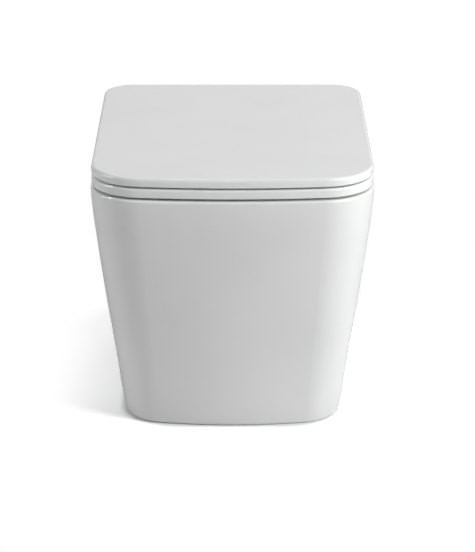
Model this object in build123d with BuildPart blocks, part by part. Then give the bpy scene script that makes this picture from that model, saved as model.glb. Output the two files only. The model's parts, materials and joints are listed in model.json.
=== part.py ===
from build123d import *
import os
from math import cos, radians, sin

# Wall hung toilet in millimetres, +Z up, its front looking along -Y
# The origin lies on the wall face, midway between the two wall fixings

# Ceramic body
deck_height = 80
pan_height = 340
pan_projection = 500
pan_half_width = 181.7
pan_corner = 72
pan_bow = 1050
foot_half_width = 143.2
foot_setback = 84.2
foot_corner = 56
foot_bow = 530
rim_band = 4
flank_blend = 15
flank_power = 1.13
rim_edge = 3.5
foot_edge = 4.5
shell_wall = 12
deck_thickness = 14
flank_sections = 6
flank_crowding = 1.5
hollow_sections = 4

# Bowl
rim_front = 40
rim_side = 56
deck_length = 146
rim_depth = 18
bowl_edge = 6
ledge = 6
bowl_wall = 10
sump_depth = 296
sump_back = 222
sump_front = 268
sump_half_width = 27

# Trap and waste outlet
outlet_drop = 100
outlet_radius = 51
outlet_bore = 42
spigot_length = 58
spigot_cone = 22
spigot_setback = 3
trap_bore = 27
trap_wall = 9
trap_dip_depth = 272
trap_dip_reach = 180
trap_crown_depth = 152
trap_crown_reach = 112
trap_bend = 45
crown_bend = 38
tail_bend = 40

# Flush inlet
inlet_height = 35
inlet_radius = 27.5
inlet_depth = 56
inlet_wall = 9
duct_radius = 19
slot_width = 100
slot_height = 16
slot_drop = 34

# Wall fixings, each a bracket on a stud with a screw through the flank
fixing_spacing = 180
stud_hole_radius = 6.5
bracket_depth = 44
bracket_height = 42
bracket_inner = 20
bracket_round = 4
bracket_chamfer = 1.5
nut_pocket_radius = 12
nut_pocket_depth = 14
clamp_setback = 24
clamp_radius = 4
clamp_grip = 36
clamp_head_radius = 7.5
clamp_head_length = 6
bush_radius = 12.8
bush_flange = 3
bush_reach = 24
cap_radius = 15.6
cap_thickness = 2.8
cap_inset = 4
cap_edge = 1.4
cap_skirt = 1.2
hex_socket = 3
shelf_thickness = 12
shelf_depth = 56
web_thickness = 10
web_drop = 36

# Seat and lid
seat_half_width = 180.5
seat_inset = 1.5
seat_corner = 70
seat_bow = 1050
lid_back = 39
lid_back_corner = 42
seat_lift = 3
seat_thickness = 12
lid_gap = 2.5
lid_thickness = 11
lid_top_edge = 4
lid_bottom_edge = 1.5
lid_plate = 4.5
lid_rim = 14
seat_top_edge = 3
seat_bottom_edge = 2
opening_half_width = 113
opening_front = 60
opening_back = 158
opening_edge = 4
channel_rim = 10
channel_depth = 5
buffer_radius = 6.5
buffer_stem = 2.5
buffer_stem_length = 5
buffer_boss = 8
buffer_chamfer = 0.6
seat_buffer_places = [(146, 205), (112, 425)]
lid_buffer_places = [(142, 215), (108, 418)]

# Hinges
seat_fixing_spacing = 155
hinge_reach = 50
hinge_rise = 19
barrel_radius = 6
axle_radius = 3
damper_radius = 4.3
key_size = 0.8
ear_length = 24
ear_gap = 0.5
lid_skin = 3
seat_back_gap = 11
ear_shoulder = 1.5
block_width = 26
block_front = 38
block_neck = 13
arm_drop = 4.2
block_radius = 5.8
block_edge = 4
post_offset = 23
post_radius = 6.5
post_groove = 5
post_height = 13
post_chamfer = 1
base_corner = 4
base_chamfer = 0.6
base_thickness = 3.5
gasket_thickness = 0.8
latch_level = 2.6
latch_thickness = 2
latch_width = 16
latch_web = 2.2
latch_travel = 3
button_height = 4.8
button_thickness = 3
button_edge = 0.8
spring_leaf = 0.4
spring_length = 6
spring_side_gap = 1
spring_height = 3
axle_chamfer = 0.5
bolt_radius = 3
bolt_head_radius = 5
bolt_head_height = 3.6
bolt_length = 54
bolt_chamfer = 0.8
screw_chamfer = 2
plug_radius = 6.8
plug_length = 27
nut_radius = 6.4
nut_length = 8
nut_cone = 4

# Clearances
running_gap = 0.05
slide_gap = 0.2
seat_gap = 0.3
hole_gap = 0.2
notch_gap = 1.5
bracket_gap = 1.2
joint_gap = 0.3
past = 1

# Places worked out from the sizes above
outlet_height = -outlet_drop
seat_bottom = deck_height + seat_lift
seat_top = seat_bottom + seat_thickness
lid_bottom = seat_top + lid_gap
lid_top = lid_bottom + lid_thickness
seat_front = -pan_projection + seat_inset
axis_y = -hinge_reach
axis_z = deck_height + hinge_rise
post_y = axis_y - post_offset
seat_back = axis_y - seat_back_gap
hinge_x = seat_fixing_spacing / 2
fixing_x = fixing_spacing / 2
base_top = deck_height + gasket_thickness + base_thickness
block_bottom = base_top + slide_gap
hinge_ceiling = lid_top - lid_skin
ear_near = block_width / 2 + ear_gap
ear_far = ear_near + ear_length
sides = [("left", -1), ("right", 1)]

os.makedirs("parts", exist_ok=True)


# Closed plan outline with straight flanks, round front corners and a bowed front
def bowed_outline(half_width, back, front, corner, bow):
    corner_x = half_width - corner
    reach = ((bow - corner) ** 2 - corner_x**2) ** 0.5
    corner_y = front + bow - reach
    grow = bow / (bow - corner)
    meet_x = corner_x * grow
    meet_y = front + bow - reach * grow
    turn_x = corner_x + corner * sin(radians(60))
    turn_y = corner_y - corner * cos(radians(60))
    Line((half_width, back), (half_width, corner_y))
    ThreePointArc((half_width, corner_y), (turn_x, turn_y), (meet_x, meet_y))
    ThreePointArc((meet_x, meet_y), (0, front), (-meet_x, meet_y))
    ThreePointArc((-meet_x, meet_y), (-turn_x, turn_y), (-half_width, corner_y))
    Line((-half_width, corner_y), (-half_width, back))
    Line((-half_width, back), (half_width, back))


# Share of the way from the rim's outline to the foot's, at a depth below the rim
def taper(depth):
    run = max(depth - rim_band, 0)
    drop = run - flank_blend / 2
    if run < flank_blend:
        drop = run**2 / (2 * flank_blend)
    return (drop / (pan_height - rim_band - flank_blend / 2)) ** flank_power


# Plan section of the ceramic body at a depth below the rim, drawn in by an inset
def pan_section(depth, inset, back):
    share = taper(depth)
    with BuildSketch(Plane.XY.offset(deck_height - depth)) as section:
        with BuildLine():
            bowed_outline(
                pan_half_width + (foot_half_width - pan_half_width) * share - inset,
                back,
                -pan_projection + foot_setback * share + inset,
                pan_corner + (foot_corner - pan_corner) * share - inset,
                pan_bow + (foot_bow - pan_bow) * share - inset,
            )
        make_face()
    return section.sketch


# Oval with a front and back end, for one level of the bowl
def oval(back, front, half_width):
    with Locations((0, (back + front) / 2)):
        Ellipse(half_width, (back - front) / 2)


# Levels of the bowl: shares of the depth, and of the way to the sump at back, front and sides
bowl_levels = [
    (0, 0, 0, 0),
    (0.25, 0.15, 0.08, 0.06),
    (0.5, 0.44, 0.31, 0.26),
    (0.75, 0.73, 0.68, 0.62),
    (0.9, 0.85, 0.86, 0.83),
    (1, 1, 1, 1),
]
rim_back_y = -deck_length
rim_front_y = rim_front - pan_projection
rim_half_width = pan_half_width - rim_side
duct_end = deck_length + bowl_wall


# Sections of the bowl, grown by a wall on every side
def bowl_sections(grow):
    top = deck_height - rim_depth
    fall = sump_depth - rim_depth + grow
    start_back = rim_back_y + ledge
    start_front = rim_front_y - ledge
    start_width = rim_half_width + ledge
    sections = []
    for depth, back, front, side in bowl_levels:
        with BuildSketch(Plane.XY.offset(top - depth * fall)) as level:
            oval(
                start_back + (-sump_back - start_back) * back + grow,
                start_front + (-sump_front - start_front) * front - grow,
                start_width + (sump_half_width - start_width) * side + grow,
            )
        sections.append(level.sketch)
    return sections


# Collar under the deck that the bowl hangs from, or the space around it, grown on every side
def collar_blank(grow):
    with BuildPart() as blank:
        with BuildSketch(Plane.XY.offset(deck_height - rim_depth)):
            oval(rim_back_y + ledge + grow, rim_front_y - ledge - grow, rim_half_width + ledge + grow)
        extrude(amount=rim_depth - deck_thickness + past)
    return blank.part


# Outside of the bowl, or its inside, from the collar down to the sump
def bowl_blank(grow):
    with BuildPart() as blank:
        loft(bowl_sections(grow))
    return blank.part


# Centre line of the trapway, from the sump over the crown to the outlet
def trap_path():
    dip = deck_height - trap_dip_depth
    crown = deck_height - trap_crown_depth
    sump_centre = -(sump_back + sump_front) / 2
    return FilletPolyline(
        (sump_centre, dip),
        (-trap_dip_reach, dip),
        (-trap_crown_reach, crown),
        (-spigot_length, outlet_height),
        (-spigot_setback, outlet_height),
        radius=[trap_bend, crown_bend, tail_bend],
    )


# Trapway from the sump over the crown to the spigot: its inside or its outside
def trap_blank(pipe_radius, spigot_radius, end):
    outlet_start = spigot_length + spigot_cone
    with BuildPart() as blank:
        with BuildLine(Plane.YZ) as trap_line:
            trap_path()
        with BuildSketch(Plane(trap_line.line @ 0, z_dir=trap_line.line % 0)):
            Circle(pipe_radius)
        sweep(path=trap_line.line)
        with BuildSketch(Plane.YZ):
            with Locations((0, outlet_height)):
                Polygon(
                    (-outlet_start, 0),
                    (-outlet_start, pipe_radius),
                    (-spigot_length, spigot_radius),
                    (end, spigot_radius),
                    (end, 0),
                    align=None,
                )
        revolve(axis=Axis((0, 0, outlet_height), (0, 1, 0)))
    return blank.part


# Inside of the duct that widens from the inlet to the slot in the bowl, or its outside, grown by a wall
def duct_blank(grow, start, end):
    with BuildPart() as blank:
        with BuildSketch(Plane.XZ.offset(start)):
            with Locations((0, inlet_height)):
                Circle(duct_radius + grow)
        with BuildSketch(Plane.XZ.offset(end)):
            with Locations((0, deck_height - slot_drop)):
                SlotOverall(slot_width + 2 * grow, slot_height + 2 * grow)
        loft()
    return blank.part


# Pan
clamp_x = pan_half_width + (foot_half_width - pan_half_width) * taper(deck_height)
cap_face = clamp_x - cap_inset
bracket_top = bracket_height / 2
shelf_bottom = bracket_top + seat_gap
lug_outer = clamp_x - shell_wall / 2
lug_inner = fixing_x - bracket_inner - seat_gap
bracket_start = fixing_x - bracket_inner
bracket_end = cap_face - bush_reach - bracket_gap
clamp_seat = cap_face + bush_flange - bush_reach
with BuildPart() as pan:
    extrude(pan_section(rim_band, 0, 0), amount=rim_band)
    fillet(pan.faces().sort_by(Axis.Z)[-1].edges(), rim_edge)
    flank_end = pan_height - foot_edge
    flank_steps = range(flank_sections + 1)
    flank_shares = [(step / flank_sections) ** flank_crowding for step in flank_steps]
    loft([pan_section(rim_band + (flank_end - rim_band) * share, 0, 0) for share in flank_shares])
    foot_rounds = []
    for turn in (0, 45, 90):
        drop = foot_edge * sin(radians(turn))
        foot_rounds.append(pan_section(flank_end + drop, foot_edge * (1 - cos(radians(turn))), 0))
    loft(foot_rounds)
    # Hollow around the bowl and the trapway, open towards the wall
    hollow_end = pan_height - shell_wall
    hollow_step = (hollow_end - deck_thickness) / hollow_sections
    hollow_depths = [deck_thickness + hollow_step * step for step in range(hollow_sections + 1)]
    loft([pan_section(depth, shell_wall, past) for depth in hollow_depths], mode=Mode.SUBTRACT)
    add(collar_blank(bowl_wall))
    # Lugs that hang on the wall brackets
    for side, sign in sides:
        with Locations((sign * (lug_inner + lug_outer) / 2, 0, shelf_bottom)):
            Box(
                lug_outer - lug_inner,
                shelf_depth,
                shelf_thickness,
                align=(Align.CENTER, Align.MAX, Align.MIN),
            )
        with Locations((sign * (lug_inner + lug_outer) / 2, -shelf_depth, -web_drop)):
            Box(
                lug_outer - lug_inner,
                web_thickness,
                web_drop + shelf_bottom + shelf_thickness,
                align=(Align.CENTER, Align.MIN, Align.MIN),
            )
    # Mouth of the bowl with its rounded rim
    with BuildSketch(Plane.XY.offset(deck_height)):
        oval(rim_back_y, rim_front_y, rim_half_width)
    extrude(amount=-rim_depth, mode=Mode.SUBTRACT)
    fillet(pan.edges().filter_by(GeomType.ELLIPSE).sort_by(Axis.Z)[-1], bowl_edge)
    # Holes for the seat fixings and, in the flanks, for the clamp bushes
    with Locations((-hinge_x, post_y, deck_height), (hinge_x, post_y, deck_height)):
        Hole(plug_radius + hole_gap, depth=deck_thickness + past)
    for side, sign in sides:
        flank = Plane((sign * cap_face, -clamp_setback, 0), z_dir=(sign, 0, 0))
        with BuildSketch(flank):
            Circle(cap_radius + hole_gap)
        extrude(amount=2 * cap_inset, mode=Mode.SUBTRACT)
        with BuildSketch(flank):
            Circle(bush_radius + hole_gap)
        extrude(amount=-bush_reach, mode=Mode.SUBTRACT)
pan.part.label = "pan"
export_step(pan.part, "parts/pan.step")

# Ceramic bowl, hung under the pan's collar, open to the flush duct and to the trapway
with BuildPart() as bowl:
    add(bowl_blank(bowl_wall))
    add(bowl_blank(0), mode=Mode.SUBTRACT)
    add(trap_blank(trap_bore, outlet_bore, past), mode=Mode.SUBTRACT)
    add(duct_blank(0, inlet_depth - past, duct_end + past), mode=Mode.SUBTRACT)
bowl.part.label = "bowl"
export_step(bowl.part, "parts/bowl.step")

# Ceramic trapway and outlet spigot, joined to the back of the sump
with BuildPart() as trapway:
    add(trap_blank(trap_bore + trap_wall, outlet_radius, -spigot_setback))
    with Locations((0, bowl_wall - sump_back, deck_height - sump_depth)):
        Box(
            2 * pan_half_width,
            pan_projection,
            2 * sump_depth,
            align=(Align.CENTER, Align.MAX, Align.CENTER),
            mode=Mode.SUBTRACT,
        )
    add(bowl_blank(bowl_wall + joint_gap), mode=Mode.SUBTRACT)
    add(trap_blank(trap_bore, outlet_bore, past), mode=Mode.SUBTRACT)
trapway.part.label = "trapway"
export_step(trapway.part, "parts/trapway.step")

# Ceramic channel under the deck, from the flush inlet to the back of the bowl
with BuildPart() as flush_channel:
    with BuildSketch(Plane.XZ):
        with Locations((0, inlet_height)):
            Circle(inlet_radius + inlet_wall)
    extrude(amount=inlet_depth + inlet_wall)
    add(duct_blank(inlet_wall, inlet_depth, duct_end))
    with Locations((0, 0, deck_height - deck_thickness)):
        Box(
            2 * slot_width,
            2 * deck_length,
            deck_height,
            align=(Align.CENTER, Align.CENTER, Align.MIN),
            mode=Mode.SUBTRACT,
        )
    add(collar_blank(bowl_wall + joint_gap), mode=Mode.SUBTRACT)
    add(bowl_blank(bowl_wall + joint_gap), mode=Mode.SUBTRACT)
    with BuildSketch(Plane.XZ):
        with Locations((0, inlet_height)):
            Circle(inlet_radius)
    extrude(amount=inlet_depth, mode=Mode.SUBTRACT)
    add(duct_blank(0, inlet_depth - past, duct_end + past), mode=Mode.SUBTRACT)
flush_channel.part.label = "flush_channel"
export_step(flush_channel.part, "parts/flush_channel.step")

# Brackets that sit on the wall's studs, and the screws that clamp the pan to them
for side, sign in sides:
    with BuildPart() as wall_bracket:
        with Locations((sign * (bracket_start + bracket_end) / 2, 0, 0)):
            Box(
                bracket_end - bracket_start,
                bracket_depth,
                bracket_height,
                align=(Align.CENTER, Align.MAX, Align.CENTER),
            )
        fillet(wall_bracket.edges().filter_by(Axis.Y), bracket_round)
        chamfer(wall_bracket.faces().sort_by(Axis.Y)[0].edges(), bracket_chamfer)
        stud_plane = Plane((sign * fixing_x, -bracket_depth, 0), z_dir=(0, 1, 0))
        with BuildSketch(stud_plane):
            Circle(stud_hole_radius)
        extrude(amount=bracket_depth, mode=Mode.SUBTRACT)
        with BuildSketch(stud_plane):
            RegularPolygon(nut_pocket_radius, 6)
        extrude(amount=nut_pocket_depth, mode=Mode.SUBTRACT)
        with BuildSketch(Plane((sign * bracket_end, -clamp_setback, 0), z_dir=(sign, 0, 0))):
            Circle(clamp_radius + running_gap)
        extrude(amount=-clamp_grip - past, mode=Mode.SUBTRACT)
    wall_bracket.part.label = f"wall_bracket_{side}"
    export_step(wall_bracket.part, f"parts/wall_bracket_{side}.step")

    cap_plane = Plane((sign * cap_face, -clamp_setback, 0), z_dir=(sign, 0, 0))
    with BuildPart() as clamp_bush:
        with BuildSketch(cap_plane):
            Circle(bush_radius)
        extrude(amount=-bush_reach)
        with BuildSketch(cap_plane):
            Circle(clamp_head_radius + hole_gap)
        extrude(amount=-(bush_reach - bush_flange), mode=Mode.SUBTRACT)
        with BuildSketch(cap_plane):
            Circle(clamp_radius + hole_gap)
        extrude(amount=-bush_reach, mode=Mode.SUBTRACT)
    clamp_bush.part.label = f"clamp_bush_{side}"
    export_step(clamp_bush.part, f"parts/clamp_bush_{side}.step")

    head_plane = cap_plane.offset(bush_flange - bush_reach)
    with BuildPart() as clamp_screw:
        with BuildSketch(head_plane):
            Circle(clamp_head_radius)
        extrude(amount=clamp_head_length)
        with BuildSketch(head_plane):
            Circle(clamp_radius)
        extrude(amount=-(clamp_seat - bracket_end + clamp_grip))
        chamfer(clamp_screw.edges().sort_by(Axis.X)[0 if sign > 0 else -1], screw_chamfer)
        with BuildSketch(head_plane.offset(clamp_head_length)):
            RegularPolygon(hex_socket, 6)
        extrude(amount=-clamp_head_length / 2, mode=Mode.SUBTRACT)
    clamp_screw.part.label = f"clamp_screw_{side}"
    export_step(clamp_screw.part, f"parts/clamp_screw_{side}.step")

    with BuildPart() as cover_cap:
        with BuildSketch(cap_plane):
            Circle(cap_radius)
        extrude(amount=cap_thickness)
        fillet(cover_cap.edges().sort_by(Axis.X)[-1 if sign > 0 else 0], cap_edge)
        with BuildSketch(cap_plane):
            Circle(clamp_head_radius)
            Circle(clamp_head_radius - cap_skirt, mode=Mode.SUBTRACT)
        extrude(amount=-(bush_reach - bush_flange - clamp_head_length - hole_gap))
    cover_cap.part.label = f"cover_cap_{side}"
    export_step(cover_cap.part, f"parts/cover_cap_{side}.step")


# Outline shared by the seat and the lid, drawn in by an inset
def seat_outline(inset):
    with BuildSketch() as outline:
        with BuildLine():
            bowed_outline(
                seat_half_width - inset,
                -lid_back - inset,
                seat_front + inset,
                seat_corner - inset,
                seat_bow - inset,
            )
        make_face()
        fillet(outline.vertices().group_by(Axis.Y)[-1], lid_back_corner - inset)
    return outline.sketch


# Upright slot of the seat's or the lid's underside, from one x to another on both sides
def hinge_cut(near, far, front, back, low, high):
    middle = hinge_x + (near + far) / 2
    with Locations((middle, front, low), (-middle, front, low)):
        Box(
            far - near,
            back - front,
            high - low,
            align=(Align.CENTER, Align.MIN, Align.MIN),
            mode=Mode.SUBTRACT,
        )


# Seat ring
ring_centre = -(opening_back + pan_projection - seat_inset - opening_front) / 2
ring_half_length = (pan_projection - seat_inset - opening_front - opening_back) / 2
with BuildPart() as seat_ring:
    extrude(seat_outline(0).moved(Location((0, 0, seat_bottom))), amount=seat_thickness)
    with Locations((0, seat_back, seat_bottom)):
        Box(
            2 * seat_half_width,
            seat_half_width,
            seat_thickness,
            align=(Align.CENTER, Align.MIN, Align.MIN),
            mode=Mode.SUBTRACT,
        )
    fillet(seat_ring.faces().sort_by(Axis.Z)[-1].edges(), seat_top_edge)
    fillet(seat_ring.faces().sort_by(Axis.Z)[0].edges(), seat_bottom_edge)
    with BuildSketch(Plane.XY.offset(seat_bottom)):
        with Locations((0, ring_centre)):
            Ellipse(opening_half_width, ring_half_length)
    extrude(amount=seat_thickness, mode=Mode.SUBTRACT)
    rims = seat_ring.edges().filter_by(GeomType.ELLIPSE).sort_by(Axis.Z)
    fillet(rims[-1], opening_edge)
    fillet(seat_ring.edges().filter_by(GeomType.ELLIPSE).sort_by(Axis.Z)[0], seat_bottom_edge)
    # Hollow underside, with bosses left for the buffers
    with BuildSketch(Plane.XY.offset(seat_bottom)) as channel:
        add(seat_outline(channel_rim))
        with Locations((0, seat_back - channel_rim)):
            Rectangle(
                2 * seat_half_width,
                seat_half_width,
                align=(Align.CENTER, Align.MIN),
                mode=Mode.SUBTRACT,
            )
        with Locations((0, ring_centre)):
            Ellipse(opening_half_width + channel_rim, ring_half_length + channel_rim, mode=Mode.SUBTRACT)
        with Locations((hinge_x, seat_back), (-hinge_x, seat_back)):
            Rectangle(
                block_width + 2 * channel_rim,
                2 * (block_front - seat_back_gap + channel_rim),
                mode=Mode.SUBTRACT,
            )
        with Locations([(x * sign, -y) for x, y in seat_buffer_places for side, sign in sides]):
            Circle(buffer_boss, mode=Mode.SUBTRACT)
    extrude(amount=channel_depth, mode=Mode.SUBTRACT)
    # Notches round the hinge blocks
    notch = block_width / 2 + notch_gap
    with Locations((hinge_x, seat_back, seat_bottom), (-hinge_x, seat_back, seat_bottom)):
        Box(
            2 * notch,
            2 * (block_front - seat_back_gap + notch_gap),
            seat_thickness,
            align=(Align.CENTER, Align.CENTER, Align.MIN),
            mode=Mode.SUBTRACT,
        )
    # Ears outside the hinge blocks, each a barrel with its web
    for side, sign in sides:
        with BuildSketch(Plane.YZ.offset(sign * (hinge_x + ear_near))):
            with BuildLine():
                Polyline(
                    (seat_back - seat_bottom_edge, seat_bottom + seat_bottom_edge),
                    (seat_back, seat_bottom + seat_bottom_edge),
                    (axis_y, axis_z - barrel_radius),
                )
                ThreePointArc(
                    (axis_y, axis_z - barrel_radius),
                    (axis_y + barrel_radius, axis_z),
                    (axis_y, axis_z + barrel_radius),
                )
                Polyline(
                    (axis_y, axis_z + barrel_radius),
                    (seat_back - seat_bottom_edge, seat_top - ear_shoulder),
                    (seat_back - seat_bottom_edge, seat_bottom + seat_bottom_edge),
                )
            make_face()
        extrude(amount=sign * ear_length)
        with BuildSketch(Plane.YZ.offset(sign * (hinge_x + ear_near))):
            with Locations((axis_y, axis_z)):
                Circle(damper_radius + running_gap)
            with Locations((axis_y - damper_radius, axis_z)):
                Rectangle(2 * key_size + 2 * running_gap, 2 * key_size + 2 * running_gap)
        extrude(amount=sign * ear_length, mode=Mode.SUBTRACT)
    with Locations([(x * sign, -y, seat_bottom) for x, y in seat_buffer_places for side, sign in sides]):
        Cylinder(
            buffer_stem + running_gap,
            buffer_stem_length + running_gap,
            align=(Align.CENTER, Align.CENTER, Align.MIN),
            mode=Mode.SUBTRACT,
        )
seat_ring.part.label = "seat_ring"
export_step(seat_ring.part, "parts/seat_ring.step")

# Lid, a hollow plate with an ear inside each hinge block
with BuildPart() as lid:
    extrude(seat_outline(0).moved(Location((0, 0, lid_bottom))), amount=lid_thickness)
    fillet(lid.faces().sort_by(Axis.Z)[-1].edges(), lid_top_edge)
    fillet(lid.faces().sort_by(Axis.Z)[0].edges(), lid_bottom_edge)
    with BuildSketch(Plane.XY.offset(lid_bottom)):
        add(seat_outline(lid_rim))
        with Locations([(x * sign, -y) for x, y in lid_buffer_places for side, sign in sides]):
            Circle(buffer_boss, mode=Mode.SUBTRACT)
    extrude(amount=lid_thickness - lid_plate, mode=Mode.SUBTRACT)
    # Recesses over the hinges, open at the back edge
    hinge_cut(-ear_far - notch_gap, ear_far + notch_gap, seat_back - notch_gap, 0, lid_bottom, hinge_ceiling)
    hinge_cut(
        -ear_near - notch_gap,
        ear_near + notch_gap,
        axis_y - block_front - notch_gap,
        axis_y,
        lid_bottom,
        hinge_ceiling,
    )
    for side, sign in sides:
        with BuildSketch(Plane.YZ.offset(sign * (hinge_x - ear_near))):
            with Locations((axis_y, axis_z)):
                Circle(barrel_radius)
                Rectangle(
                    2 * barrel_radius,
                    hinge_ceiling - axis_z + lid_skin / 2,
                    align=(Align.CENTER, Align.MIN),
                )
        extrude(amount=-sign * ear_length)
        with BuildSketch(Plane.YZ.offset(sign * (hinge_x - ear_near))):
            with Locations((axis_y, axis_z)):
                Circle(damper_radius + running_gap)
            with Locations((axis_y - damper_radius, axis_z)):
                Rectangle(2 * key_size + 2 * running_gap, 2 * key_size + 2 * running_gap)
        extrude(amount=-sign * ear_length, mode=Mode.SUBTRACT)
    with Locations([(x * sign, -y, lid_bottom) for x, y in lid_buffer_places for side, sign in sides]):
        Cylinder(
            buffer_stem + running_gap,
            buffer_stem_length + running_gap,
            align=(Align.CENTER, Align.CENTER, Align.MIN),
            mode=Mode.SUBTRACT,
        )
lid.part.label = "lid"
export_step(lid.part, "parts/lid.step")

# Rubber buffers under the seat and under the lid, four of each
for name, places, top, gap in (
    ("seat_buffers", seat_buffer_places, seat_bottom, seat_lift),
    ("lid_buffers", lid_buffer_places, lid_bottom, lid_gap),
):
    with BuildPart() as buffers:
        for x, y in places:
            for side, sign in sides:
                with Locations((sign * x, -y, top)):
                    Cylinder(
                        buffer_radius,
                        gap - slide_gap,
                        align=(Align.CENTER, Align.CENTER, Align.MAX),
                    )
                    Cylinder(
                        buffer_stem,
                        buffer_stem_length,
                        align=(Align.CENTER, Align.CENTER, Align.MIN),
                    )
        chamfer(buffers.edges().group_by(Axis.Z)[0], buffer_chamfer)
    buffers.part.label = name
    export_step(buffers.part, f"parts/{name}.step")

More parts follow.
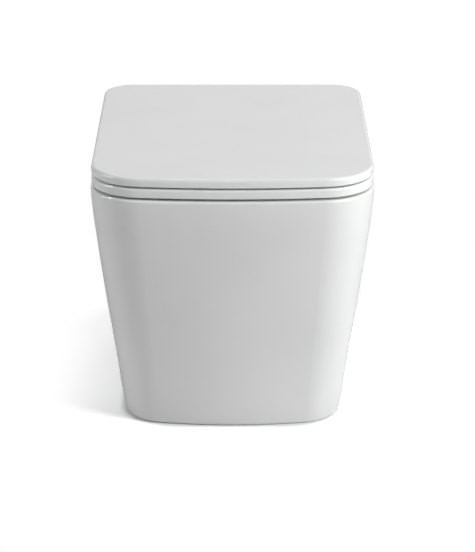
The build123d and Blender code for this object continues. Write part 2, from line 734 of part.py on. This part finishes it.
# Hinge hardware, the same on the left and the right
post_top = block_bottom + post_height
latch_bottom = block_bottom + latch_level
latch_top = latch_bottom + latch_thickness
bolt_seat = post_top - bolt_head_height - slide_gap
keyhole_radius = post_groove + slide_gap
block_roof = axis_z + block_radius
latch_front = post_y - keyhole_radius - latch_web
for side, sign in sides:
    x = sign * hinge_x
    with BuildPart() as hinge_gasket:
        with BuildSketch(Plane.XY.offset(deck_height)):
            with Locations((x, axis_y - (block_front + block_neck) / 2)):
                RectangleRounded(block_width, block_front - block_neck, base_corner)
            with Locations((x, post_y)):
                Circle(plug_radius + hole_gap, mode=Mode.SUBTRACT)
        extrude(amount=gasket_thickness)
    hinge_gasket.part.label = f"hinge_gasket_{side}"
    export_step(hinge_gasket.part, f"parts/hinge_gasket_{side}.step")

    with BuildPart() as hinge_base:
        with BuildSketch(Plane.XY.offset(deck_height + gasket_thickness)):
            with Locations((x, axis_y - (block_front + block_neck) / 2)):
                RectangleRounded(block_width, block_front - block_neck, base_corner)
            with Locations((x, post_y)):
                Circle(bolt_radius + hole_gap, mode=Mode.SUBTRACT)
        extrude(amount=base_thickness)
        chamfer(hinge_base.faces().sort_by(Axis.Z)[-1].outer_wire().edges(), base_chamfer)
    hinge_base.part.label = f"hinge_base_{side}"
    export_step(hinge_base.part, f"parts/hinge_base_{side}.step")

    # Grooved post that the hinge block clicks on to
    with BuildPart() as hinge_post:
        with BuildSketch(Plane.XZ.offset(-post_y)):
            with Locations((x, 0)):
                Polygon(
                    (bolt_radius + hole_gap, base_top),
                    (post_radius, base_top),
                    (post_radius, latch_bottom - slide_gap),
                    (post_groove, latch_bottom - slide_gap),
                    (post_groove, latch_top + slide_gap),
                    (post_radius, latch_top + slide_gap),
                    (post_radius, post_top - post_chamfer),
                    (post_radius - post_chamfer, post_top),
                    (bolt_head_radius + hole_gap, post_top),
                    (bolt_head_radius + hole_gap, bolt_seat),
                    (bolt_radius + hole_gap, bolt_seat),
                    align=None,
                )
        revolve(axis=Axis((x, post_y, 0), (0, 0, 1)))
    hinge_post.part.label = f"hinge_post_{side}"
    export_step(hinge_post.part, f"parts/hinge_post_{side}.step")

    with BuildPart() as seat_fixing_bolt:
        with Locations((x, post_y, bolt_seat)):
            Cylinder(bolt_head_radius, bolt_head_height, align=(Align.CENTER, Align.CENTER, Align.MIN))
            Cylinder(bolt_radius, bolt_length, align=(Align.CENTER, Align.CENTER, Align.MAX))
        chamfer(seat_fixing_bolt.edges().group_by(Axis.Z)[0], bolt_chamfer)
        with BuildSketch(Plane.XY.offset(bolt_seat + bolt_head_height)):
            with Locations((x, post_y)):
                RegularPolygon(hex_socket, 6)
        extrude(amount=-bolt_head_height / 2, mode=Mode.SUBTRACT)
    seat_fixing_bolt.part.label = f"seat_fixing_bolt_{side}"
    export_step(seat_fixing_bolt.part, f"parts/seat_fixing_bolt_{side}.step")

    # Rubber plug that the nut's cone spreads below the deck
    plug_top = deck_height + gasket_thickness
    plug_bottom = plug_top - plug_length
    with BuildPart() as expansion_plug:
        with BuildSketch(Plane.XZ.offset(-post_y)):
            with Locations((x, 0)):
                Polygon(
                    (bolt_radius + hole_gap, plug_top),
                    (plug_radius, plug_top),
                    (plug_radius, plug_bottom),
                    (nut_radius, plug_bottom),
                    (bolt_radius + hole_gap, plug_bottom + nut_cone),
                    align=None,
                )
        revolve(axis=Axis((x, post_y, 0), (0, 0, 1)))
    expansion_plug.part.label = f"expansion_plug_{side}"
    export_step(expansion_plug.part, f"parts/expansion_plug_{side}.step")

    nut_shoulder = plug_bottom - slide_gap
    with BuildPart() as plug_nut:
        with BuildSketch(Plane.XZ.offset(-post_y)):
            with Locations((x, 0)):
                Polygon(
                    (bolt_radius + running_gap, nut_shoulder + nut_cone),
                    (nut_radius, nut_shoulder),
                    (nut_radius, nut_shoulder - nut_length),
                    (bolt_radius + running_gap, nut_shoulder - nut_length),
                    align=None,
                )
        revolve(axis=Axis((x, post_y, 0), (0, 0, 1)))
    plug_nut.part.label = f"plug_nut_{side}"
    export_step(plug_nut.part, f"parts/plug_nut_{side}.step")

    # Hinge block, a foot over the post with an arm back to the axle
    with BuildPart() as hinge_block:
        with BuildSketch(Plane.YZ.offset(x - block_width / 2)):
            with BuildLine():
                Polyline(
                    (axis_y, axis_z - block_radius),
                    (axis_y - block_neck, axis_z - arm_drop),
                    (axis_y - block_neck, block_bottom),
                    (axis_y - block_front, block_bottom),
                    (axis_y - block_front, block_roof),
                    (axis_y, block_roof),
                )
                ThreePointArc(
                    (axis_y, block_roof),
                    (axis_y + block_radius, axis_z),
                    (axis_y, axis_z - block_radius),
                )
            make_face()
        extrude(amount=block_width)
        fillet(hinge_block.edges().filter_by(Axis.X).group_by(Axis.Y)[0].sort_by(Axis.Z)[-1], block_edge)
        with Locations((x, post_y, block_bottom)):
            Cylinder(
                post_radius + slide_gap,
                post_height + slide_gap,
                align=(Align.CENTER, Align.CENTER, Align.MIN),
                mode=Mode.SUBTRACT,
            )
        slot_front = latch_front - spring_length
        with Locations((x, slot_front, latch_bottom - slide_gap)):
            Box(
                latch_width + 2 * slide_gap,
                axis_y - block_neck - slot_front,
                latch_thickness + 2 * slide_gap,
                align=(Align.CENTER, Align.MIN, Align.MIN),
                mode=Mode.SUBTRACT,
            )
        with Locations((x, slot_front, latch_bottom - slide_gap)):
            Box(
                latch_width + 2 * slide_gap,
                spring_length - latch_travel,
                spring_height + 2 * slide_gap,
                align=(Align.CENTER, Align.MIN, Align.MIN),
                mode=Mode.SUBTRACT,
            )
        with Locations((x, axis_y, axis_z)):
            Cylinder(axle_radius + running_gap, block_width, rotation=(0, 90, 0), mode=Mode.SUBTRACT)
    hinge_block.part.label = f"hinge_block_{side}"
    export_step(hinge_block.part, f"parts/hinge_block_{side}.step")

    with BuildPart() as hinge_axle:
        with Locations((x, axis_y, axis_z)):
            Cylinder(axle_radius, 2 * ear_far, rotation=(0, 90, 0))
        chamfer(hinge_axle.edges(), axle_chamfer)
    hinge_axle.part.label = f"hinge_axle_{side}"
    export_step(hinge_axle.part, f"parts/hinge_axle_{side}.step")

    # Keyhole plate round the post's groove, with its button at the back
    button_back = axis_y - block_neck + latch_travel + button_thickness + slide_gap
    button_low = block_bottom + slide_gap
    with BuildPart() as release_button:
        with Locations((x, latch_front, latch_bottom)):
            Box(
                latch_width,
                button_back - latch_front,
                latch_thickness,
                align=(Align.CENTER, Align.MIN, Align.MIN),
            )
        with BuildSketch(Plane.XY.offset(latch_bottom)):
            with Locations((x, post_y)):
                Circle(keyhole_radius)
            with Locations((x, post_y + latch_travel)):
                Circle(post_radius + slide_gap)
        extrude(amount=latch_thickness, mode=Mode.SUBTRACT)
        with Locations((x, button_back, button_low)):
            Box(
                latch_width,
                button_thickness,
                button_height,
                align=(Align.CENTER, Align.MAX, Align.MIN),
            )
        fillet(release_button.faces().sort_by(Axis.Y)[-1].edges(), button_edge)
    release_button.part.label = f"release_button_{side}"
    export_step(release_button.part, f"parts/release_button_{side}.step")

    # Bowed leaf that pushes the button back out
    spring_back = latch_front - slide_gap
    spring_front = slot_front + slide_gap
    with BuildPart() as release_spring:
        with BuildSketch(Plane.XY.offset(latch_bottom)):
            with BuildLine():
                ThreePointArc(
                    (x - latch_width / 2 + spring_side_gap, spring_front),
                    (x, spring_back),
                    (x + latch_width / 2 - spring_side_gap, spring_front),
                )
                offset(amount=spring_leaf, side=Side.RIGHT)
            make_face()
        extrude(amount=latch_thickness)
    release_spring.part.label = f"release_spring_{side}"
    export_step(release_spring.part, f"parts/release_spring_{side}.step")


# Sleeve with a key rib that fills a barrel round the axle
def barrel_sleeve(near_x):
    with BuildPart() as sleeve:
        with BuildSketch(Plane.YZ.offset(near_x)):
            with Locations((axis_y, axis_z)):
                Circle(damper_radius)
            with Locations((axis_y - damper_radius, axis_z)):
                Rectangle(2 * key_size, 2 * key_size)
            with Locations((axis_y, axis_z)):
                Circle(axle_radius + running_gap, mode=Mode.SUBTRACT)
        extrude(amount=ear_length)
    return sleeve.part


# Soft close dampers and plain bushes in the ears
sleeve_places = {
    "seat_damper": -hinge_x - ear_far,
    "lid_hinge_bush": -hinge_x + ear_near,
    "lid_damper": hinge_x - ear_far,
    "seat_hinge_bush": hinge_x + ear_near,
}
for name, near_x in sleeve_places.items():
    sleeve = barrel_sleeve(near_x)
    sleeve.label = name
    export_step(sleeve, f"parts/{name}.step")
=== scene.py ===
import json
import math

import bpy
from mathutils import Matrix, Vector


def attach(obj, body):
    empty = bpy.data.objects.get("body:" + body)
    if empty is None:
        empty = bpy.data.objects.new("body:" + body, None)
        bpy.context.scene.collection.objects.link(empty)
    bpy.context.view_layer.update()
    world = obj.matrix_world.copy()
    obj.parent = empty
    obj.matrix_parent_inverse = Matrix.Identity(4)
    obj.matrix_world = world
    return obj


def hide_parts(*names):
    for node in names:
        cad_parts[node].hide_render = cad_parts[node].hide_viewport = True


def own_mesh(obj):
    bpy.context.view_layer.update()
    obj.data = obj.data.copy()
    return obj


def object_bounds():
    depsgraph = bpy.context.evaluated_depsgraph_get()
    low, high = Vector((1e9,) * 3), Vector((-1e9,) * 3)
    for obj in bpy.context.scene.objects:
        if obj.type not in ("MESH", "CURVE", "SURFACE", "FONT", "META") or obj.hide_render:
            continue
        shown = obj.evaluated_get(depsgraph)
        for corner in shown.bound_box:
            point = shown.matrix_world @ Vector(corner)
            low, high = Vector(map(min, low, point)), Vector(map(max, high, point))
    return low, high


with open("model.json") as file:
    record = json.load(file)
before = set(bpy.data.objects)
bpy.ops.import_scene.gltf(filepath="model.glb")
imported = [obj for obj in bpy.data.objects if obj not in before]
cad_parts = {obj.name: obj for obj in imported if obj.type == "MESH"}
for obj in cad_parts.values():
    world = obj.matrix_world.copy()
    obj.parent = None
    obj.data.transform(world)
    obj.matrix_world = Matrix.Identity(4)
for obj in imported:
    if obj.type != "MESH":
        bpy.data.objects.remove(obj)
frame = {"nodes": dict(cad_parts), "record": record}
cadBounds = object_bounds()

print("frame loaded:", len(frame["nodes"]), "nodes")


class Wire:
    # a node's output that Python expressions can reckon with
    def __init__(self, finish, socket):
        self.finish = finish
        self.socket = socket

    def reckon(self, operation, first, second):
        return self.finish.node("ShaderNodeMath", {"operation": operation}, {0: first, 1: second})

    def __add__(self, other):
        return self.reckon("ADD", self, other)

    def __radd__(self, other):
        return self.reckon("ADD", other, self)

    def __sub__(self, other):
        return self.reckon("SUBTRACT", self, other)

    def __rsub__(self, other):
        return self.reckon("SUBTRACT", other, self)

    def __mul__(self, other):
        return self.reckon("MULTIPLY", self, other)

    def __rmul__(self, other):
        return self.reckon("MULTIPLY", other, self)

    def larger(self, other):
        return self.reckon("MAXIMUM", self, other)


class Finish:
    # a material, or the world, under construction
    def __init__(self, name, owner=None):
        self.owner = owner or bpy.data.materials.new(name)
        self.owner.use_nodes = True
        self.tree = self.owner.node_tree
        self.tree.nodes.clear()

    def node(self, kind, settings=None, sockets=None, output=0):
        made = self.tree.nodes.new(kind)
        for name, value in (settings or {}).items():
            setattr(made, name, value)
        for name, value in (sockets or {}).items():
            if isinstance(value, Wire):
                self.tree.links.new(value.socket, made.inputs[name])
            else:
                made.inputs[name].default_value = value
        return Wire(self, made.outputs[output]) if made.outputs else made

    def noise(self, place, scale, detail):
        return self.node("ShaderNodeTexNoise", {}, {"Vector": place, "Scale": scale, "Detail": detail})

    def vector(self, operation, first, second=(0, 0, 0)):
        return self.node("ShaderNodeVectorMath", {"operation": operation}, {0: first, 1: second})

    def blend(self, factor, first, second):
        # the first colour fades to the second; the Mix node's colour sockets are 6, 7 and 2
        sockets = {0: factor, 6: first, 7: second}
        return self.node("ShaderNodeMix", {"data_type": "RGBA", "clamp_factor": True}, sockets, output=2)

    def ease(self, value, low, high):
        # 0 below low, 1 above high, smooth between
        sockets = {"Value": value, "From Min": low, "From Max": high}
        return self.node("ShaderNodeMapRange", {"interpolation_type": "SMOOTHSTEP"}, sockets)

    def bump(self, height, strength, distance):
        return self.node(
            "ShaderNodeBump", {}, {"Strength": strength, "Distance": distance, "Height": height}
        )

    def close(self, sockets):
        # the shader and the material's end
        surface = self.node("ShaderNodeBsdfPrincipled", {}, sockets)
        self.node("ShaderNodeOutputMaterial", {}, {"Surface": surface})
        return self.owner


def opaque(colour):
    return (*colour, 1.0)


white = opaque((1.0, 1.0, 1.0))

# Glazed ceramic: a thick white glaze on what is seen, a thin sprayed one on the waterways
glazes = {
    "pan glaze": {
        "nodes": ("pan", "bowl"),
        "colour": (0.803, 0.812, 0.805),
        "pooled": (0.778, 0.787, 0.78),
        "polish": 0.03,
        "wave": 0.05,
        "coat": 0.3,
    },
    "thin glaze": {
        "nodes": ("trapway", "flush_channel"),
        "colour": (0.78, 0.785, 0.765),
        "pooled": (0.72, 0.70, 0.65),
        "polish": 0.28,
        "wave": 0.2,
        "coat": 0.1,
    },
}
glazeDetail = {
    "cloudScale": 7.0,
    "cloudDetail": 3.0,
    "cloudRange": (0.35, 0.7),
    "cloudRough": 0.03,
    "speckScale": 420.0,
    "speckHeight": 0.02,
    "waveScale": 16.0,
    "bumpDistance": 0.002,
    "coatRough": 0.02,
    "ior": 1.5,
}
# The ends that meet the wall are ground bare of glaze, with a slightly ragged border
bisque = {
    "colour": (0.70, 0.665, 0.60),
    "glazeStarts": -0.0035,
    "bareFrom": -0.0021,
    "ragged": 0.001,
    "rough": 0.55,
    "grit": 0.5,
}


def makeGlaze(name, values):
    glaze = Finish(name)
    place = glaze.node("ShaderNodeTexCoord", output="Object")
    depth = glaze.node("ShaderNodeSeparateXYZ", {}, {0: place}, output="Y")
    cloud = glaze.noise(place, glazeDetail["cloudScale"], glazeDetail["cloudDetail"])
    speck = glaze.noise(place, glazeDetail["speckScale"], 1.0)
    wave = glaze.noise(place, glazeDetail["waveScale"], 1.0)
    bare = glaze.ease(depth + speck * bisque["ragged"], bisque["glazeStarts"], bisque["bareFrom"])
    pooling = glaze.ease(cloud, *glazeDetail["cloudRange"])
    colour = glaze.blend(pooling, opaque(values["colour"]), opaque(values["pooled"]))
    height = wave + speck * glazeDetail["speckHeight"] + bare * speck * bisque["grit"]
    return glaze.close(
        {
            "Base Color": glaze.blend(bare, colour, opaque(bisque["colour"])),
            "Roughness": values["polish"] + cloud * glazeDetail["cloudRough"] + bare * bisque["rough"],
            "Normal": glaze.bump(height, values["wave"], glazeDetail["bumpDistance"]),
            "IOR": glazeDetail["ior"],
            "Coat Weight": values["coat"],
            "Coat Roughness": glazeDetail["coatRough"],
        }
    )


# Moulded white seat and lid: faint orange peel, and a few fine lines from wiping
duroplast = {
    "colour": (0.81, 0.82, 0.812),
    "shade": (0.79, 0.80, 0.792),
    "cloudScale": 9.0,
    "cloudRange": (0.35, 0.7),
    "peelScale": 700.0,
    "wipeStretch": (260.0, 8.0, 40.0),
    "wipeHeight": 0.3,
    "wipeRough": 0.06,
    "polish": 0.12,
    "bump": 0.03,
    "bumpDistance": 0.0006,
    "ior": 1.5,
    "coat": 0.15,
    "coatRough": 0.06,
}


def makeDuroplast():
    shell = Finish("white duroplast")
    place = shell.node("ShaderNodeTexCoord", output="Object")
    cloud = shell.noise(place, duroplast["cloudScale"], 2.0)
    peel = shell.noise(place, duroplast["peelScale"], 2.0)
    wipe = shell.noise(shell.vector("MULTIPLY", place, duroplast["wipeStretch"]), 1.0, 3.0)
    shading = shell.ease(cloud, *duroplast["cloudRange"])
    height = peel + wipe * duroplast["wipeHeight"]
    return shell.close(
        {
            "Base Color": shell.blend(shading, opaque(duroplast["colour"]), opaque(duroplast["shade"])),
            "Roughness": duroplast["polish"] + wipe * duroplast["wipeRough"],
            "Normal": shell.bump(height, duroplast["bump"], duroplast["bumpDistance"]),
            "IOR": duroplast["ior"],
            "Coat Weight": duroplast["coat"],
            "Coat Roughness": duroplast["coatRough"],
        }
    )


# Metals, rubbers and small plastics: colour, how metallic, roughness, and how fine the
# grain is along each axis
smallFinishes = {
    "clear_rubber": {"colour": (0.62, 0.62, 0.60), "metal": 0.0, "rough": 0.5, "grain": (300, 300, 300)},
    "dark_rubber": {"colour": (0.03, 0.03, 0.03), "metal": 0.0, "rough": 0.6, "grain": (300, 300, 300)},
    "brushed_steel": {"colour": (0.62, 0.62, 0.61), "metal": 1.0, "rough": 0.28, "grain": (60, 1500, 60)},
    "satin_zinc": {"colour": (0.60, 0.60, 0.60), "metal": 1.0, "rough": 0.22, "grain": (400, 400, 400)},
    "machined_steel": {"colour": (0.66, 0.66, 0.66), "metal": 1.0, "rough": 0.2, "grain": (900, 60, 900)},
    "zinc_steel": {"colour": (0.68, 0.70, 0.72), "metal": 1.0, "rough": 0.3, "grain": (500, 500, 500)},
    "brass": {"colour": (0.75, 0.56, 0.26), "metal": 1.0, "rough": 0.25, "grain": (200, 200, 1200)},
    "spring_steel": {"colour": (0.45, 0.45, 0.46), "metal": 1.0, "rough": 0.18, "grain": (900, 90, 90)},
    "grey_plastic": {"colour": (0.36, 0.37, 0.37), "metal": 0.0, "rough": 0.38, "grain": (800, 800, 800)},
    "grey_nylon": {"colour": (0.42, 0.43, 0.43), "metal": 0.0, "rough": 0.5, "grain": (500, 500, 500)},
    "white_plastic": {"colour": (0.80, 0.81, 0.80), "metal": 0.0, "rough": 0.2, "grain": (700, 700, 700)},
    "dark_plastic": {"colour": (0.05, 0.05, 0.05), "metal": 0.0, "rough": 0.4, "grain": (600, 600, 600)},
}
smallDetail = {
    "cloudScale": 60.0,
    "darkening": 0.86,
    "grainRough": 0.1,
    "bump": 0.12,
    "bumpDistance": 0.0002,
}


def makeSmallFinish(name):
    values = smallFinishes[name]
    part = Finish(name.replace("_", " "))
    place = part.node("ShaderNodeTexCoord", output="Object")
    grain = part.noise(part.vector("MULTIPLY", place, values["grain"]), 1.0, 3.0)
    cloud = part.noise(place, smallDetail["cloudScale"], 2.0)
    darker = tuple(smallDetail["darkening"] * channel for channel in values["colour"])
    return part.close(
        {
            "Base Color": part.blend(cloud, opaque(values["colour"]), opaque(darker)),
            "Metallic": values["metal"],
            "Roughness": values["rough"] + grain * smallDetail["grainRough"],
            "Normal": part.bump(grain, smallDetail["bump"], smallDetail["bumpDistance"]),
        }
    )


finishes = {"white_duroplast": makeDuroplast()}
for name in smallFinishes:
    finishes[name] = makeSmallFinish(name)
glazed = {}
for name, values in glazes.items():
    glaze = makeGlaze(name, values)
    for node in values["nodes"]:
        glazed[node] = glaze
for subpart in frame["record"]["subparts"]:
    mesh = frame["nodes"][subpart["node"]].data
    mesh.materials.clear()
    mesh.materials.append(glazed.get(subpart["node"]) or finishes[subpart["material_slot"]])
print("finishes set:", len(finishes) + len(glazes))


def makeLeafSpring(side):
    node = "release_spring_" + side
    cadLeaf = frame["nodes"][node]
    leaf = bpy.data.objects.new("leaf_" + node, cadLeaf.data.copy())
    leaf.matrix_world = cadLeaf.matrix_world.copy()
    bpy.context.scene.collection.objects.link(leaf)
    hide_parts(node)
    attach(leaf, "pan_body")
    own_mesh(leaf)


for side in ("left", "right"):
    makeLeafSpring(side)
print("leaf springs made")

# Camera: where the photograph was taken from, set back and up from the lid's front edge
view = {
    "lidFront": (0.0, -0.4985, 0.1085),
    "above": 0.8867,
    "before": 2.8189,
    "tilt": 19.77,
    "sensor": 36,
    "focalPixels": 2367.4,
    "imageWidth": 475,
    "imageHeight": 552,
    "middlePixel": 232.45,
    "sightEnds": 50,
}


def placeCamera():
    data = bpy.data.cameras.new("camera")
    camera = bpy.data.objects.new("camera", data)
    bpy.context.scene.collection.objects.link(camera)
    x, y, z = view["lidFront"]
    camera.location = (x, y - view["before"], z + view["above"])
    camera.rotation_euler = (math.radians(90 - view["tilt"]), 0, 0)
    data.sensor_width = view["sensor"]
    data.lens = view["sensor"] * view["focalPixels"] / view["imageHeight"]
    data.shift_x = (view["imageWidth"] / 2 - view["middlePixel"]) / view["imageHeight"]
    data.clip_end = view["sightEnds"]
    bpy.context.scene.camera = camera


placeCamera()
print("camera placed")

# Floor: the camera sees its paint lighter than the object does, white away from the foot, with the soft
# shadow beside the foot, and a painted shadow, a thin dark line, where it stands
floorLook = {
    "colour": 0.8,
    "seenAs": 1.85,
    "reach": 12.0,
    "footMiddle": (0.0, -0.208, -0.26),
    "footHalf": (0.143, 0.208, 0.1),
    "footCorner": 0.075,
    "contactShadePainted": 0.5,
    "contactShadeReach": 0.014,
    "shadowFull": 0.015,
    "shadowGone": 0.11,
}


def makeFloor():
    low = Vector(cadBounds[0])
    reach = floorLook["reach"]
    mesh = bpy.data.meshes.new("floor")
    corners = [(x * reach, y * reach, low.z) for x, y in ((-1, -1), (1, -1), (1, 1), (-1, 1))]
    mesh.from_pydata(corners, [], [(0, 1, 2, 3)])
    floor = bpy.data.objects.new("floor", mesh)
    bpy.context.scene.collection.objects.link(floor)
    paint = Finish("floor paint")
    seen = paint.node("ShaderNodeLightPath", output="Is Camera Ray")
    # how far a point lies outside the foot's outline, a rectangle with round corners
    place = paint.node("ShaderNodeTexCoord", output="Object")
    beside = paint.vector("ABSOLUTE", paint.vector("SUBTRACT", place, floorLook["footMiddle"]))
    inner = tuple(half - floorLook["footCorner"] for half in floorLook["footHalf"])
    beyond = paint.vector("MAXIMUM", paint.vector("SUBTRACT", beside, inner))
    away = paint.node("ShaderNodeVectorMath", {"operation": "LENGTH"}, {0: beyond}, output="Value")
    away = away - floorLook["footCorner"]
    # painted shadow: the floor colour the camera sees is darker within a few millimetres of the foot's
    # outline
    paintedContactShadow = 1 - paint.ease(away, 0.0, floorLook["contactShadeReach"])
    shade = floorLook["colour"] + seen * (floorLook["seenAs"] - floorLook["colour"])
    shade = shade * (1 - seen * paintedContactShadow * floorLook["contactShadePainted"])
    matt = paint.node("ShaderNodeBsdfDiffuse", {}, {"Color": shade})
    glow = paint.node("ShaderNodeEmission", {}, {"Color": white})
    fade = seen * paint.ease(away, floorLook["shadowFull"], floorLook["shadowGone"])
    surface = paint.node("ShaderNodeMixShader", {}, {0: fade, 1: matt, 2: glow})
    paint.node("ShaderNodeOutputMaterial", {}, {"Surface": surface})
    mesh.materials.append(paint.owner)


makeFloor()
print("floor laid")

# Studio light: soft boxes round the pan, each with its turn from the front towards
# the right, its rise, its size and its power. The strips only make the shoulder's glints
studio = {
    "ambient": 0.04,
    "boxReach": 3.2,
    "boxMiddle": (0.0, -0.25, 0.0),
    "boxTarget": (0.0, -0.25, -0.05),
}
softBoxes = {
    "left wall": {"turn": -86, "rise": 18, "size": (1.4, 1.4), "power": 36.0},
    "key": {"turn": 58, "rise": 23, "size": (1.4, 1.4), "power": 70.0},
    "high key": {"turn": 52, "rise": 52, "size": (1.4, 1.4), "power": 28.0},
    "right wall": {"turn": 112, "rise": 26, "size": (1.4, 1.4), "power": 8.0},
    "rear": {"turn": 180, "rise": 50, "size": (1.4, 1.4), "power": 16.0},
    "left strip": {"turn": -88, "rise": 41, "size": (0.5, 0.3), "power": 30.0, "glossOnly": True},
    "right strip": {"turn": 88, "rise": 41, "size": (0.5, 0.3), "power": 30.0, "glossOnly": True},
}


def makeWorld():
    world = bpy.data.worlds.new("studio")
    bpy.context.scene.world = world
    air = Finish("studio", world)
    seen = air.node("ShaderNodeLightPath", output="Is Camera Ray")
    glossy = air.node("ShaderNodeLightPath", output="Is Glossy Ray")
    through = air.node("ShaderNodeLightPath", output="Is Transmission Ray")
    shown = seen.larger(glossy).larger(through)
    strength = studio["ambient"] + shown * (1 - studio["ambient"])
    glow = air.node("ShaderNodeBackground", {}, {"Color": white, "Strength": strength})
    air.node("ShaderNodeOutputWorld", {}, {"Surface": glow})


def makeSoftBox(name, values):
    data = bpy.data.lights.new(name, "AREA")
    data.shape = "RECTANGLE"
    data.size, data.size_y = values["size"]
    data.energy = values["power"]
    lamp = bpy.data.objects.new(name, data)
    turn = math.radians(values["turn"])
    rise = math.radians(values["rise"])
    way = Vector((math.cos(rise) * math.sin(turn), -math.cos(rise) * math.cos(turn), math.sin(rise)))
    lamp.location = Vector(studio["boxMiddle"]) + studio["boxReach"] * way
    aim = Vector(studio["boxTarget"]) - lamp.location
    lamp.rotation_euler = aim.to_track_quat("-Z", "Y").to_euler()
    lamp.visible_diffuse = not values.get("glossOnly", False)
    bpy.context.scene.collection.objects.link(lamp)


makeWorld()
for name, values in softBoxes.items():
    makeSoftBox(name, values)
bpy.context.scene.view_settings.view_transform = "Standard"
print("studio lit:", len(softBoxes), "soft boxes")
